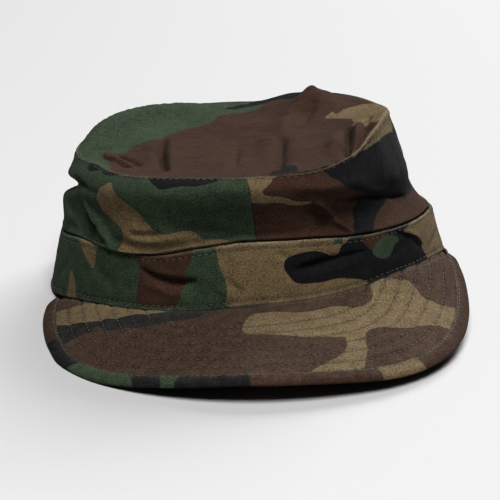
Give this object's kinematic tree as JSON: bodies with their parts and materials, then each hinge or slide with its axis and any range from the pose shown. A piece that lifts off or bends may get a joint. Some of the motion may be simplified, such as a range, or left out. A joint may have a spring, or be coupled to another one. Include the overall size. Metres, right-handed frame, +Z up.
{
  "type": "military field cap",
  "caption": "Soft round field cap of camouflage cotton twill, with a banded crown, a dished top and a stiff curved peak, lying on its rim",
  "frame": {"origin": "centre of the plan bounds, on the table that the cap rests on", "axes": "+Z up, the peak points along -Y, +X to the left of a wearer who looks along -Y"},
  "size_m": [0.1939, 0.2426, 0.0913],
  "materials": {
    "crown_top": "woodland camouflage cotton twill",
    "side_panel_left": "woodland camouflage cotton twill",
    "side_panel_right": "woodland camouflage cotton twill",
    "band": "woodland camouflage cotton twill, doubled",
    "peak": "woodland camouflage cotton twill over a stiff core",
    "peak_binding": "woodland camouflage cotton twill strip"
  },
  "bodies": {
    "root": {"crown_top": "crown_top", "side_panel_left": "side_panel_left", "side_panel_right": "side_panel_right", "band": "band", "peak": "peak", "peak_binding": "peak_binding"}
  },
  "joints": []
}
